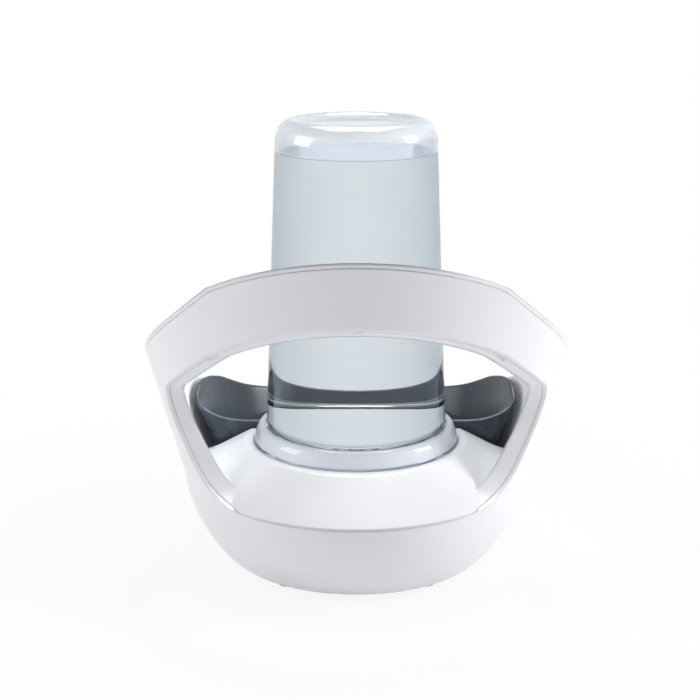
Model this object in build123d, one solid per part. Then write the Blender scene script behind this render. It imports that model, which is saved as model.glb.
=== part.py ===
from build123d import *
import os
from math import cos, pi, radians, sin, sqrt

os.makedirs("parts", exist_ok=True)

# Gravity-fed drinking fountain for a cat or small dog. Millimetres, +Z up, the drinking side faces +Y.
# While it is built, the centre of the body's plan is the origin and the feet stand on z = 0.

# Body, as ellipses that grow from the base to the seam and then flare in straight lines
FOOT_HEIGHT = 3.2
BASE_RADIUS = 79.4
SEAM_HEIGHT = 56.4
SEAM_HALF_WIDTH = 105.6
SEAM_HALF_DEPTH = 113.7
SIDE_FLARE = 0.27
END_FLARE = 0.27
BULGE_ANGLE = 82.0
BULGE_POWER = 0.82
BODY_SECTIONS = 6
CONE_TOP = SEAM_HEIGHT + 183.6

# Walls and gaps
SKIN = 2.2
WALL = 12.6
WALL_TAPER = 0.045
PANEL = 2.0
FIT_GAP = 0.15
CLEARANCE = 0.4

# Rim, seen from the side: y and the height above the seam, from the front lip to the arch's shoulder.
# From the shoulder a straight cut rises over the crown.
RIM_CURVE = ((134.0, 6.6), (112.0, 13.6), (51.5, 38.6), (0.0, 64.6), (-68.4, 100.0), (-99.7, 118.6), (-127.0, 140.2))
CROWN_SLOPE = 0.65
CROWN_END = -176.0
RIM_LIP = 2.2

# Window under the arch, seen from the side: the leg's edge, then an arc up to the bend and a straight cut
LEG_FOOT = -70.3
LEG_EDGE = -57.0
LEG_KNEE = SEAM_HEIGHT + 43.6
LEG_KNEE_ROUND = 25.0
WINDOW_SHOULDER = SEAM_HEIGHT + 65.6
WINDOW_ARC = (-86.0, SEAM_HEIGHT + 81.4)
WINDOW_BEND = (-111.5, SEAM_HEIGHT + 99.8)
WINDOW_SLOPE = 0.655
WINDOW_CORNER = 20.0
SILL_CORNER = 34.0

# Locking slots in the underside of the arch
SLOT_LENGTH = 4.5
SLOT_WIDTH = 1.6
SLOT_DEPTH = 1.0
SLOT_X = 76.5

# Dome round the collar
AXIS_Y = -21.0
CREST_HEIGHT = SEAM_HEIGHT + 23.6
CREST_RADIUS = 66.5
CREST_ROUND = 3.0
DOME_SHELL = 3.0
DOME_EDGE = 1.0
COLLAR_HOLE_RADIUS = 62.2

# Bowl
BOWL_GAP = 2.0
BOWL_WALL = 3.0
BOWL_BACK = -2.0
BOWL_CORNER = 17.0
BOWL_BOTTOM = SEAM_HEIGHT - 11.4
BOWL_FLOOR = 3.5
BOWL_TOP = BOWL_BOTTOM + 63.0
WELL_RADIUS = 58.0
WELL_TOP = BOWL_BOTTOM + 21.0
POST_RADIUS = 2.6
POST_TOP = BOWL_BOTTOM + 16.0

# Bowl's rim, seen from the side: y and the height above the bowl's underside
BOWL_RIM = ((-40.0, 39.0), (-2.0, 40.0), (16.0, 50.5), (38.0, 54.0), (58.0, 49.0), (84.0, 36.0), (118.0, 29.0))

# Tray under the bowl, and the weighing beam that carries it
TRAY_PLATE = 2.5
TRAY_WALL = 1.5
TRAY_UPSTAND = 5.0
BEAM_LENGTH = 80.0
BEAM_WIDTH = 12.7
BEAM_HEIGHT = 9.0
BEAM_PAD = 2.6
BEAM_END = 20.0
BEAM_BORE = 3.2
BEAM_SPAN = 12.0
BEAM_HOLE_PITCH = 12.0

# Collar cap
CAP_RADIUS = 61.0
CAP_FLOOR = 3.0
CAP_SHOULDER = WELL_TOP + 18.0
CAP_TOP = WELL_TOP + 31.5
CAP_WALL = 2.6
CAP_SHOULDER_TUCK = 1.6
CAP_GUIDE_WIDTH = 2.5
CAP_GUIDE_DEPTH = 3.0
PORT_RADIUS = 8.0
CAGE_RADIUS = 14.5
CAGE_WALL = 2.0
CAGE_TOP = WELL_TOP + 23.0
CAGE_SLOT = 7.0
CAGE_SLOT_MARGIN = 3.0
HUB_WALL = 1.6
RIB_WIDTH = 1.4

# Bottle
BOTTLE_LOW_RADIUS = 53.9
BOTTLE_LOW = WELL_TOP + 25.4
BOTTLE_HIGH_RADIUS = 46.9
BOTTLE_HIGH = BOTTLE_LOW + 167.6
BOTTLE_TOP = BOTTLE_HIGH + 13.0
BOTTLE_CROWN_RADIUS = 37.6
BOTTLE_DISH = 3.0
BOTTLE_DISH_EDGE = 4.0
BOTTLE_HEEL = 3.0
BOTTLE_WALL = 2.0
NECK_RADIUS = 44.0
GASKET_WIDTH = 4.0
GASKET_THICKNESS = 1.0
MOUTH_HEIGHT = WELL_TOP + CAP_FLOOR + GASKET_THICKNESS

# Valve
STEM_RADIUS = 2.4
STEM_HEAD_RADIUS = 11.0
STEM_HEAD = 2.4
STEM_BORE_GAP = 0.1
VALVE_OPEN = 3.0
SEAL_THICKNESS = 1.4
SPRING_RADIUS = 7.0
SPRING_WIRE = 0.9
SPRING_TURNS = 4

# Base plate, battery bay and door
PLATE = 2.5
FLANGE_WIDTH = 3.5
BASE_SCREW_CIRCLE = BASE_RADIUS - 10.1
BASE_SCREW_ANGLE = 20.3
LUG_RADIUS = 4.8
LUG_TOP = 18.0
FOOT_RADIUS = 7.0
FOOT_CHAMFER = 0.8
FOOT_CIRCLE = BASE_RADIUS - 11.0
FOOT_DOOR_GAP = 1.14
FOOT_SINK = 0.8
CELL_RADIUS = 7.25
CELL_LENGTH = 50.5
CELL_PITCH = 15.2
CELL_COUNT = 4
CELL_LIFT = 2.8
CELL_TIP = 1.5
CELL_TIP_RADIUS = 2.7
CELL_GAP = 0.3
CONTACT_THICKNESS = 0.5
CONTACT_MARGIN = 2.0
CONTACT_SPRING_RADIUS = 4.5
CONTACT_SPRING_TIP = 3.2
CONTACT_WIRE = 0.8
BAY_Y = 20.0
BAY_END_ROOM = 3.2
DOOR_MARGIN = 4.0
DOOR_TONGUE = 9.0
DOOR_CORNER = 6.0
GRIP_LENGTH = 18.0
GRIP_WIDTH = 3.0
GRIP_DEPTH = 0.7
GRIP_MARGIN = 6.0
SCREW_RADIUS = 1.5
SCREW_HEAD_RADIUS = 2.9
SCREW_HEAD = 1.8
SCREW_SLOT = 0.8
SCREW_SUNK = 0.1

# Circuit board and setup button
BOARD_LENGTH = 54.0
BOARD_WIDTH = 32.0
BOARD_THICKNESS = 1.6
BOARD_Y = -46.0
BOARD_HEIGHT = 22.0
BOARD_SCREW_MARGIN = 4.0
BUTTON_RADIUS = 4.0
BUTTON_X = 14.0
BUTTON_TRAVEL = 1.0
BUTTON_COLLAR = 1.6
BUTTON_RECESS = 0.6
SWITCH_HEIGHT = 3.0
SWITCH_WIDTH = 6.0

# Parts on top of the board: x and y from its middle, length, width and height
BOARD_PARTS = ((-8.0, 0.0, 12.0, 12.0, 1.2), (10.0, 6.0, 8.0, 6.0, 2.4), (10.0, -7.0, 14.0, 6.0, 5.0))

# Aerial loop
COIL_THICKNESS = 0.8
COIL_DROP = 5.0
COIL_WIDTH = 6.0

SCREW_GAP = 0.1
FLOOR_TOP = FOOT_HEIGHT + PLATE
FAR = 400.0

parts = {}


def keep(name, shape):
    """Stores a node's finished shape under the name of its file."""
    parts[name] = shape


def group(shapes):
    """Gathers separate solids that share one node."""
    return Compound([solid for shape in shapes for solid in shape.solids()])


# ---- body surfaces -------------------------------------------------------------------------------

def growth(z):
    share = (z - FOOT_HEIGHT) / (SEAM_HEIGHT - FOOT_HEIGHT)
    return (sin(radians(BULGE_ANGLE * share)) / sin(radians(BULGE_ANGLE))) ** BULGE_POWER


def bulged_section(z, inset):
    width = BASE_RADIUS + (SEAM_HALF_WIDTH - BASE_RADIUS) * growth(z)
    depth = BASE_RADIUS + (SEAM_HALF_DEPTH - BASE_RADIUS) * growth(z)
    return Plane.XY.offset(z) * Ellipse(width - inset, depth - inset)


def flared_section(z, inset):
    width = SEAM_HALF_WIDTH + SIDE_FLARE * (z - SEAM_HEIGHT)
    depth = SEAM_HALF_DEPTH + END_FLARE * (z - SEAM_HEIGHT)
    return Plane.XY.offset(z) * Ellipse(width - inset, depth - inset)


def lower_body(inset, start):
    step = (SEAM_HEIGHT - start) / (BODY_SECTIONS - 1)
    heights = [start + step * i for i in range(BODY_SECTIONS)]
    return loft([bulged_section(z, inset) for z in heights])


def flared_body(inset, low, high):
    return loft([flared_section(low, inset), flared_section(high, inset)], ruled=True)


def wall_at(z):
    """The body's whole wall, which thins from the seam to the rim."""
    return WALL - WALL_TAPER * (z - SEAM_HEIGHT)


def inner_body(inset, low, high):
    return loft([flared_section(z, wall_at(z) + inset) for z in (low, high)], ruled=True)


def below_rim(drop):
    points = [(y, SEAM_HEIGHT + rise - drop) for y, rise in RIM_CURVE]
    front, shoulder = points[0], points[-1]
    crown = (CROWN_END, shoulder[1] + CROWN_SLOPE * (shoulder[0] - CROWN_END))
    edge = Polyline(shoulder, crown, (CROWN_END, -FAR), (front[0], -FAR), front)
    return extrude(Plane.YZ * make_face(Spline(*points) + edge), amount=FAR / 2, both=True)


def window(grow):
    """The opening under the arch as a prism; grow widens it into the wall round it."""
    foot = (LEG_FOOT + grow, SEAM_HEIGHT)
    knee = (LEG_EDGE + grow, LEG_KNEE)
    shoulder = (LEG_EDGE + grow, WINDOW_SHOULDER + grow)
    middle, bend = [(y + grow, z + grow) for y, z in (WINDOW_ARC, WINDOW_BEND)]
    reach = -FAR / 2
    edge = Polyline(bend, (reach, bend[1] + WINDOW_SLOPE * (bend[0] - reach)), (reach, SEAM_HEIGHT),
                    foot, knee, shoulder)
    face = make_face(ThreePointArc(shoulder, middle, bend) + edge)
    for corner, radius in ((foot, SILL_CORNER), (shoulder, WINDOW_CORNER), (knee, LEG_KNEE_ROUND)):
        face = fillet(face.vertices().sort_by_distance((*corner, 0))[0], radius)
    return extrude(Plane.YZ * face, amount=FAR / 2, both=True)


def cylinder(x, y, low, high, radius):
    return Pos(x, y, low) * Cylinder(radius, high - low, align=(Align.CENTER, Align.CENTER, Align.MIN))


def block(x, y, low, high, length, width):
    return Pos(x, y, low) * Box(length, width, high - low, align=(Align.CENTER, Align.CENTER, Align.MIN))


def turned(points):
    """Revolves a half profile (radius, z) about the bottle's axis."""
    face = Plane.XZ * make_face(Polyline(*points, close=True))
    return Pos(0, AXIS_Y, 0) * revolve(face, Axis.Z)


# ---- outlines shared by the bowl, the tray and the opening ----------------------------------------

def dish_face(z, inset, back_inset):
    """Plan of the dish: the inner ellipse in front of the bowl's back line, with rounded corners."""
    width = SEAM_HALF_WIDTH + SIDE_FLARE * (z - SEAM_HEIGHT) - wall_at(z) - inset
    depth = SEAM_HALF_DEPTH + END_FLARE * (z - SEAM_HEIGHT) - wall_at(z) - inset
    back = BOWL_BACK - BOWL_GAP + back_inset
    front_half = Pos(0, back) * Rectangle(FAR, FAR, align=(Align.CENTER, Align.MIN))
    face = Ellipse(width, depth) & front_half
    corners = face.vertices().group_by(Axis.Y)[0]
    return Plane.XY.offset(z) * fillet(corners, BOWL_CORNER - inset)


def dish(inset, back_inset, low, high):
    return loft([dish_face(z, inset, back_inset) for z in (low, high)], ruled=True)


# ---- white body -----------------------------------------------------------------------------------

def make_outer_shell():
    outside = lower_body(0, FOOT_HEIGHT) + flared_body(0, SEAM_HEIGHT, CONE_TOP)
    inside = lower_body(SKIN, FOOT_HEIGHT) + flared_body(SKIN, SEAM_HEIGHT, CONE_TOP)
    shell = outside - inside
    shell &= below_rim(RIM_LIP + FIT_GAP)
    shell -= window(0)
    flange_low = FLOOR_TOP + FIT_GAP
    flange = lower_body(SKIN / 2, FOOT_HEIGHT) & block(0, 0, flange_low, flange_low + PANEL, FAR, FAR)
    shell += flange - cylinder(0, 0, 0, LUG_TOP, BASE_RADIUS - SKIN - FLANGE_WIDTH)
    for x, y in base_screw_places():
        shell += cylinder(x, y, flange_low, LUG_TOP, LUG_RADIUS)
    for x, y in base_screw_places():
        shell -= cylinder(x, y, flange_low, LUG_TOP - PANEL, SCREW_RADIUS + SCREW_GAP)
    keep("outer_shell", shell)


def base_screw_places():
    x = BASE_SCREW_CIRCLE * cos(radians(BASE_SCREW_ANGLE))
    y = BASE_SCREW_CIRCLE * sin(radians(BASE_SCREW_ANGLE))
    return [(side * x, end * y) for side in (-1, 1) for end in (-1, 1)]


def make_upper_housing():
    low = BOWL_BOTTOM
    skin_face = SKIN + FIT_GAP
    lining = flared_body(skin_face, low, CONE_TOP) + rim_lip()
    lining &= below_rim(0)
    lining -= inner_body(0, low, CONE_TOP)
    cavity = flared_body(skin_face, low, CONE_TOP) - inner_body(-PANEL, low, CONE_TOP)
    lining -= (cavity & below_rim(RIM_LIP)) - window(PANEL)
    lining -= window(0)
    lining -= block(0, LEG_FOOT - FAR / 2, low, SEAM_HEIGHT, FAR, FAR)
    lining -= arch_slots()
    keep("upper_housing", lining + make_dome())


def arch_slots():
    """Shallow slots along the middle of the arch's underside."""
    outside = loft([flared_section(z, (wall_at(z) - SLOT_WIDTH) / 2) for z in (SEAM_HEIGHT, CONE_TOP)], ruled=True)
    inside = loft([flared_section(z, (wall_at(z) + SLOT_WIDTH) / 2) for z in (SEAM_HEIGHT, CONE_TOP)], ruled=True)
    places = [block(x, -FAR / 2, WINDOW_SHOULDER, CONE_TOP, SLOT_LENGTH, FAR) for x in (-SLOT_X, 0, SLOT_X)]
    return (outside - inside) & window(SLOT_DEPTH) & (places[0] + places[1] + places[2])


def rim_lip():
    """The bead that turns outwards over the outer skin's top edge."""
    return flared_body(0, SEAM_HEIGHT, CONE_TOP) - below_rim(RIM_LIP)


def dome_solid(drop):
    base = SEAM_HEIGHT + FIT_GAP + DOME_EDGE - drop
    seam = Plane.XY.offset(base) * Ellipse(SEAM_HALF_WIDTH, SEAM_HALF_DEPTH)
    crest = Pos(0, AXIS_Y, CREST_HEIGHT - drop) * Circle(CREST_RADIUS)
    dome = loft([seam.face(), crest.face()], ruled=True)
    return fillet(dome.edges().group_by(Axis.Z)[-1], CREST_ROUND)


def make_dome():
    """The sloping deck with the collar's hole, and the walls of the recess that the bowl drops into."""
    edge_low = SEAM_HEIGHT + FIT_GAP
    dome = dome_solid(0) + flared_body(0, edge_low, edge_low + DOME_EDGE)
    dome -= dome_solid(DOME_SHELL)
    low = BOWL_BOTTOM
    high = CREST_HEIGHT + BOWL_BOTTOM
    side = -PANEL / 2
    skirt = dish(2 * side, -PANEL, low, SEAM_HEIGHT + CREST_HEIGHT / 4)
    skirt += cylinder(0, AXIS_Y, low, CREST_HEIGHT - DOME_SHELL, COLLAR_HOLE_RADIUS + PANEL)
    skirt &= dome_solid(DOME_SHELL / 2) + block(0, 0, low, SEAM_HEIGHT, FAR, FAR)
    opening = dish(side, 0, low - 1, high) + cylinder(0, AXIS_Y, low - 1, high, COLLAR_HOLE_RADIUS)
    hidden_skin = flared_body(-1, edge_low, CONE_TOP) - flared_body(SKIN + FIT_GAP, edge_low, CONE_TOP)
    return dome + skirt - opening - (hidden_skin - window(0))


def make_reader_coil():
    face = -PANEL - FIT_GAP
    band = inner_body(face - COIL_THICKNESS, SEAM_HEIGHT, CONE_TOP) - inner_body(face, SEAM_HEIGHT, CONE_TOP)
    band &= below_rim(COIL_DROP)
    keep("reader_coil", band - below_rim(COIL_DROP + COIL_WIDTH))


# ---- bowl, tray and weighing beam -------------------------------------------------------------------

def bowl_rim_cut():
    points = [(y, BOWL_BOTTOM + rise) for y, rise in BOWL_RIM]
    back, front = points[0], points[-1]
    edge = Polyline(front, (front[0], FAR), (back[0], FAR), back)
    return extrude(Plane.YZ * make_face(Spline(*points) + edge), amount=FAR / 2, both=True)


def make_bowl():
    floor_top = BOWL_BOTTOM + BOWL_FLOOR
    body = dish(BOWL_GAP, BOWL_GAP, BOWL_BOTTOM, BOWL_TOP) - bowl_rim_cut()
    body -= cylinder(0, AXIS_Y, WELL_TOP, BOWL_TOP, CAP_RADIUS + BOWL_GAP)
    body += cylinder(0, AXIS_Y, BOWL_BOTTOM, WELL_TOP, WELL_RADIUS)
    inside = BOWL_GAP + BOWL_WALL
    hollow = dish(inside, inside, floor_top, BOWL_TOP)
    hollow += cylinder(0, AXIS_Y, floor_top, BOWL_TOP, WELL_RADIUS - BOWL_WALL)
    body -= hollow
    body += cylinder(0, AXIS_Y, BOWL_BOTTOM, POST_TOP, POST_RADIUS)
    keep("drinking_bowl", body)


def make_tray():
    low = BOWL_BOTTOM - TRAY_PLATE
    top = BOWL_BOTTOM + TRAY_UPSTAND
    edge = BOWL_GAP - CLEARANCE - TRAY_WALL
    outside = dish(edge, edge, low, top) + cylinder(0, AXIS_Y, low, top, WELL_RADIUS + CLEARANCE + TRAY_WALL)
    inside = dish(edge + TRAY_WALL, edge + TRAY_WALL, BOWL_BOTTOM, top)
    inside += cylinder(0, AXIS_Y, BOWL_BOTTOM, top, WELL_RADIUS + CLEARANCE)
    tray = outside - inside
    for x in beam_holes(1):
        tray += cylinder(x, AXIS_Y, low - BEAM_PAD, low, BEAM_WIDTH / 2)
    for x in beam_holes(1):
        tray -= cylinder(x, AXIS_Y, low - BEAM_PAD, BOWL_BOTTOM - 0.6, SCREW_RADIUS + SCREW_GAP)
    keep("weigh_tray", tray)


def beam_holes(side):
    outer = BEAM_LENGTH / 2 - BEAM_END / 4
    return [side * outer, side * (outer - BEAM_HOLE_PITCH)]


def beam_top():
    return BOWL_BOTTOM - TRAY_PLATE - BEAM_PAD


def make_load_cell():
    top = beam_top()
    beam = block(0, AXIS_Y, top - BEAM_HEIGHT, top, BEAM_LENGTH, BEAM_WIDTH)
    middle_height = top - BEAM_HEIGHT / 2
    for x in (-BEAM_SPAN / 2, BEAM_SPAN / 2):
        beam -= Pos(x, AXIS_Y, middle_height) * Rot(90, 0, 0) * Cylinder(BEAM_BORE, 2 * BEAM_WIDTH)
    beam -= Pos(0, AXIS_Y, middle_height) * Box(BEAM_SPAN, 2 * BEAM_WIDTH, BEAM_BORE)
    for side in (-1, 1):
        for x in beam_holes(side):
            beam -= cylinder(x, AXIS_Y, top - BEAM_HEIGHT, top, SCREW_RADIUS + SCREW_GAP)
    keep("load_cell", beam)


def screw(x, y, seat, length, way=1):
    """A slotted screw whose head bears on the seat; way 1 drives it upwards and -1 downwards."""
    head = cylinder(0, 0, -SCREW_HEAD, 0, SCREW_HEAD_RADIUS)
    shank = cylinder(0, 0, 0, length, SCREW_RADIUS)
    slot = Pos(0, 0, -SCREW_HEAD) * Box(2 * SCREW_HEAD_RADIUS, SCREW_SLOT, SCREW_HEAD)
    return Pos(x, y, seat) * Rot(0 if way == 1 else 180, 0, 0) * (head + shank - slot)


def make_load_cell_screws():
    top = beam_top()
    length = BEAM_HEIGHT + BEAM_PAD
    keep("tray_screws", group([screw(x, AXIS_Y, top - BEAM_HEIGHT, length) for x in beam_holes(1)]))
    keep("load_cell_screws", group([screw(x, AXIS_Y, top, length, way=-1) for x in beam_holes(-1)]))


# ---- base plate and what it holds --------------------------------------------------------------------

def bay_size():
    return CELL_LENGTH + 2 * BAY_END_ROOM, CELL_PITCH * CELL_COUNT + 1.0


def bay_roof():
    return FLOOR_TOP + PLATE + CELL_LIFT + 2 * CELL_RADIUS


def door_outline(grow):
    length, width = bay_size()
    back = BAY_Y - width / 2 - DOOR_MARGIN - grow
    front = BAY_Y + width / 2 + DOOR_TONGUE + grow
    face = Pos(0, (back + front) / 2) * RectangleRounded(length + 2 * (DOOR_MARGIN + grow), front - back,
                                                         DOOR_CORNER + grow)
    return face


def door_screw_y():
    return BAY_Y + bay_size()[1] / 2 + DOOR_TONGUE - LUG_RADIUS


def make_base_plate():
    length, width = bay_size()
    roof = bay_roof()
    plate = cylinder(0, 0, FOOT_HEIGHT, FLOOR_TOP, BASE_RADIUS - SKIN - CLEARANCE)
    plate += Pos(0, 0, FLOOR_TOP) * extrude(door_outline(PANEL), amount=PLATE)
    plate -= Pos(0, 0, FOOT_HEIGHT) * extrude(door_outline(CLEARANCE), amount=PLATE)
    plate += block(0, BAY_Y, FLOOR_TOP, roof + PANEL, length + 2 * PANEL, width + 2 * PANEL)
    plate -= block(0, BAY_Y, FOOT_HEIGHT, roof, length, width)
    plate += cylinder(0, door_screw_y(), FLOOR_TOP, roof, LUG_RADIUS)
    plate -= cylinder(0, door_screw_y(), FLOOR_TOP, roof - PANEL, SCREW_RADIUS + SCREW_GAP)
    pillar_x = sum(beam_holes(-1)) / 2
    pillar_top = beam_top() - BEAM_HEIGHT
    pillar = block(pillar_x, AXIS_Y, FLOOR_TOP, pillar_top, BEAM_END + 4, BEAM_WIDTH)
    for x in beam_holes(-1):
        pillar -= cylinder(x, AXIS_Y, pillar_top - 2 * BEAM_PAD, pillar_top, SCREW_RADIUS + SCREW_GAP)
    plate += pillar
    for x, y in board_screw_places():
        plate += cylinder(x, y, FLOOR_TOP, BOARD_HEIGHT, SCREW_HEAD_RADIUS)
        plate -= cylinder(x, y, FLOOR_TOP + PANEL, BOARD_HEIGHT, SCREW_RADIUS + SCREW_GAP)
    for x, y in base_screw_places():
        plate -= cylinder(x, y, FOOT_HEIGHT, FLOOR_TOP, SCREW_RADIUS + SCREW_GAP)
        plate -= cylinder(x, y, FOOT_HEIGHT, FOOT_HEIGHT + SCREW_SUNK + SCREW_HEAD, SCREW_HEAD_RADIUS + SCREW_GAP)
    for x, y in foot_places():
        plate -= cylinder(x, y, FOOT_HEIGHT, FOOT_HEIGHT + FOOT_SINK, FOOT_RADIUS + SCREW_GAP)
    plate -= cylinder(BUTTON_X, BOARD_Y, FOOT_HEIGHT, FLOOR_TOP, BUTTON_RADIUS + CLEARANCE)
    keep("base_plate", plate)


def foot_places():
    x = bay_size()[0] / 2 + DOOR_MARGIN + FOOT_DOOR_GAP + FOOT_RADIUS
    y = sqrt(FOOT_CIRCLE**2 - x**2)
    return [(side * x, end * y) for side in (-1, 1) for end in (-1, 1)]


def make_feet():
    feet = []
    for x, y in foot_places():
        foot = cylinder(x, y, 0, FOOT_HEIGHT + FOOT_SINK, FOOT_RADIUS)
        rim = foot.edges().group_by(Axis.Z)[0]
        feet.append(chamfer(rim, FOOT_CHAMFER))
    keep("rubber_feet", group(feet))


def make_base_screws():
    seat = FOOT_HEIGHT + SCREW_SUNK + SCREW_HEAD
    length = LUG_TOP - PANEL - CLEARANCE - seat
    screws = [screw(x, y, seat, length) for x, y in base_screw_places()]
    keep("base_screws", group(screws))


def cell_rows():
    first = BAY_Y - CELL_PITCH * (CELL_COUNT - 1) / 2
    return [first + CELL_PITCH * i for i in range(CELL_COUNT)]


def cell_height():
    return bay_roof() - CELL_RADIUS - CELL_GAP


def make_batteries():
    cells = []
    for i, y in enumerate(cell_rows()):
        turn = 1 if i % 2 else -1
        can = Cylinder(CELL_RADIUS, CELL_LENGTH - CELL_TIP)
        tip = Pos(0, 0, CELL_LENGTH / 2) * Cylinder(CELL_TIP_RADIUS, CELL_TIP)
        cells.append(Pos(-turn * CELL_TIP / 2, y, cell_height()) * Rot(0, 90 * turn, 0) * (can + tip))
    keep("batteries", group(cells))


def make_battery_contacts():
    """A plate at each end of each cell, and a conical spring between the can's end and its plate."""
    seat = bay_size()[0] / 2 - CELL_GAP
    side = CELL_PITCH - 2 * CONTACT_MARGIN
    room = seat - CONTACT_THICKNESS - CELL_LENGTH / 2 - CELL_GAP
    outer_cone = Cone(CONTACT_SPRING_RADIUS, CONTACT_SPRING_TIP, room)
    inner_cone = Cone(CONTACT_SPRING_RADIUS - CONTACT_WIRE, CONTACT_SPRING_TIP - CONTACT_WIRE, room)
    plates = []
    springs = []
    for i, y in enumerate(cell_rows()):
        turn = 1 if i % 2 else -1
        for end in (-1, 1):
            x = end * (seat - CONTACT_THICKNESS / 2)
            plates.append(Pos(x, y, cell_height()) * Box(CONTACT_THICKNESS, side, side))
        centre = -turn * (CELL_LENGTH / 2 + CELL_GAP / 2 + room / 2)
        springs.append(Pos(centre, y, cell_height()) * Rot(0, 90 * turn, 0) * (outer_cone - inner_cone))
    keep("battery_plates", group(plates))
    keep("battery_springs", group(springs))


def make_battery_door():
    door = Pos(0, 0, FOOT_HEIGHT) * extrude(door_outline(0), amount=PLATE - FIT_GAP)
    y = door_screw_y()
    door -= cylinder(0, y, FOOT_HEIGHT, FLOOR_TOP, SCREW_RADIUS + SCREW_GAP)
    door -= cylinder(0, y, FOOT_HEIGHT, FOOT_HEIGHT + SCREW_SUNK + SCREW_HEAD, SCREW_HEAD_RADIUS + SCREW_GAP)
    grip = Pos(0, BAY_Y - bay_size()[1] / 2 + GRIP_MARGIN, FOOT_HEIGHT) * Box(GRIP_LENGTH, GRIP_WIDTH, 2 * GRIP_DEPTH)
    keep("battery_door", door - grip)


def make_door_screw():
    seat = FOOT_HEIGHT + SCREW_SUNK + SCREW_HEAD
    keep("door_screw", screw(0, door_screw_y(), seat, bay_roof() - PANEL - CLEARANCE - seat))


def board_screw_places():
    x = BOARD_LENGTH / 2 - BOARD_SCREW_MARGIN
    y = BOARD_WIDTH / 2 - BOARD_SCREW_MARGIN
    return [(sx * x, BOARD_Y + sy * y) for sx in (-1, 1) for sy in (-1, 1)]


def make_board():
    board = block(0, BOARD_Y, BOARD_HEIGHT, BOARD_HEIGHT + BOARD_THICKNESS, BOARD_LENGTH, BOARD_WIDTH)
    for x, y in board_screw_places():
        board -= cylinder(x, y, BOARD_HEIGHT, BOARD_HEIGHT + BOARD_THICKNESS, SCREW_RADIUS + SCREW_GAP)
    keep("circuit_board", board)
    top = BOARD_HEIGHT + BOARD_THICKNESS
    chips = [block(x, BOARD_Y + y, top, top + height, length, width) for x, y, length, width, height in BOARD_PARTS]
    chips.append(block(BUTTON_X, BOARD_Y, BOARD_HEIGHT - SWITCH_HEIGHT, BOARD_HEIGHT, SWITCH_WIDTH, SWITCH_WIDTH))
    keep("board_parts", group(chips))
    screws = [screw(x, y, top, BOARD_THICKNESS + BOARD_HEIGHT / 3, way=-1) for x, y in board_screw_places()]
    keep("board_screws", group(screws))


def make_button():
    top = BOARD_HEIGHT - SWITCH_HEIGHT - BUTTON_TRAVEL - FIT_GAP
    collar_low = FLOOR_TOP + FIT_GAP
    button = cylinder(BUTTON_X, BOARD_Y, FOOT_HEIGHT + BUTTON_RECESS, top, BUTTON_RADIUS)
    button += cylinder(BUTTON_X, BOARD_Y, collar_low, collar_low + BUTTON_COLLAR, BUTTON_RADIUS + BUTTON_COLLAR)
    keep("setup_button", button)


# ---- cap and valve ------------------------------------------------------------------------------------

def cap_floor_top():
    return WELL_TOP + CAP_FLOOR


def make_cap():
    top_inner = BOTTLE_LOW_RADIUS + CLEARANCE
    top_outer = top_inner + CAP_WALL
    middle = (CAP_RADIUS - CAP_SHOULDER_TUCK, (CAP_SHOULDER + CAP_TOP) / 2)
    shoulder = ThreePointArc((CAP_RADIUS, CAP_SHOULDER), middle, (top_outer, CAP_TOP))
    inner_wall = CAP_RADIUS - CAP_WALL
    guide_radius = WELL_RADIUS - BOWL_WALL - CLEARANCE
    edge = Polyline((top_outer, CAP_TOP), (top_inner, CAP_TOP), (top_inner, BOTTLE_LOW + CAP_WALL),
                    (inner_wall, CAP_SHOULDER), (inner_wall, cap_floor_top()),
                    (PORT_RADIUS, cap_floor_top()), (PORT_RADIUS, WELL_TOP),
                    (guide_radius - CAP_GUIDE_WIDTH, WELL_TOP),
                    (guide_radius - CAP_GUIDE_WIDTH, WELL_TOP - CAP_GUIDE_DEPTH),
                    (guide_radius, WELL_TOP - CAP_GUIDE_DEPTH), (guide_radius, WELL_TOP),
                    (CAP_RADIUS, WELL_TOP), (CAP_RADIUS, CAP_SHOULDER))
    cap = Pos(0, AXIS_Y, 0) * revolve(Plane.XZ * make_face(shoulder + edge), Axis.Z)
    thread_inner = NECK_RADIUS + CLEARANCE
    cap += turned([(thread_inner, cap_floor_top()), (thread_inner + CAP_WALL, cap_floor_top()),
                   (thread_inner + CAP_WALL, BOTTLE_LOW - CAP_FLOOR), (thread_inner, BOTTLE_LOW - CAP_FLOOR)])
    cap += make_cage()
    keep("collar_cap", cap)


def make_cage():
    floor_top = cap_floor_top()
    inner = CAGE_RADIUS - CAGE_WALL
    bore = STEM_RADIUS + STEM_BORE_GAP
    cage = turned([(inner, floor_top), (CAGE_RADIUS, floor_top), (CAGE_RADIUS, CAGE_TOP),
                   (bore, CAGE_TOP), (bore, CAGE_TOP - CAGE_WALL), (inner, CAGE_TOP - CAGE_WALL)])
    for angle in (0, 60, 120):
        slot = Rot(0, 0, angle) * Box(3 * CAGE_RADIUS, CAGE_SLOT, CAGE_TOP - floor_top - 2 * CAGE_SLOT_MARGIN)
        cage -= Pos(0, AXIS_Y, (floor_top + CAGE_TOP) / 2) * slot
    hub = turned([(bore, WELL_TOP), (bore + HUB_WALL, WELL_TOP), (bore + HUB_WALL, floor_top), (bore, floor_top)])
    for angle in (0, 120, 240):
        rib = Pos(bore + HUB_WALL / 2, 0, 0) * Box(PORT_RADIUS - bore, RIB_WIDTH, CAP_FLOOR,
                                                   align=(Align.MIN, Align.CENTER, Align.CENTER))
        hub += Pos(0, AXIS_Y, (WELL_TOP + floor_top) / 2) * Rot(0, 0, angle) * rib
    return cage + hub


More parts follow.
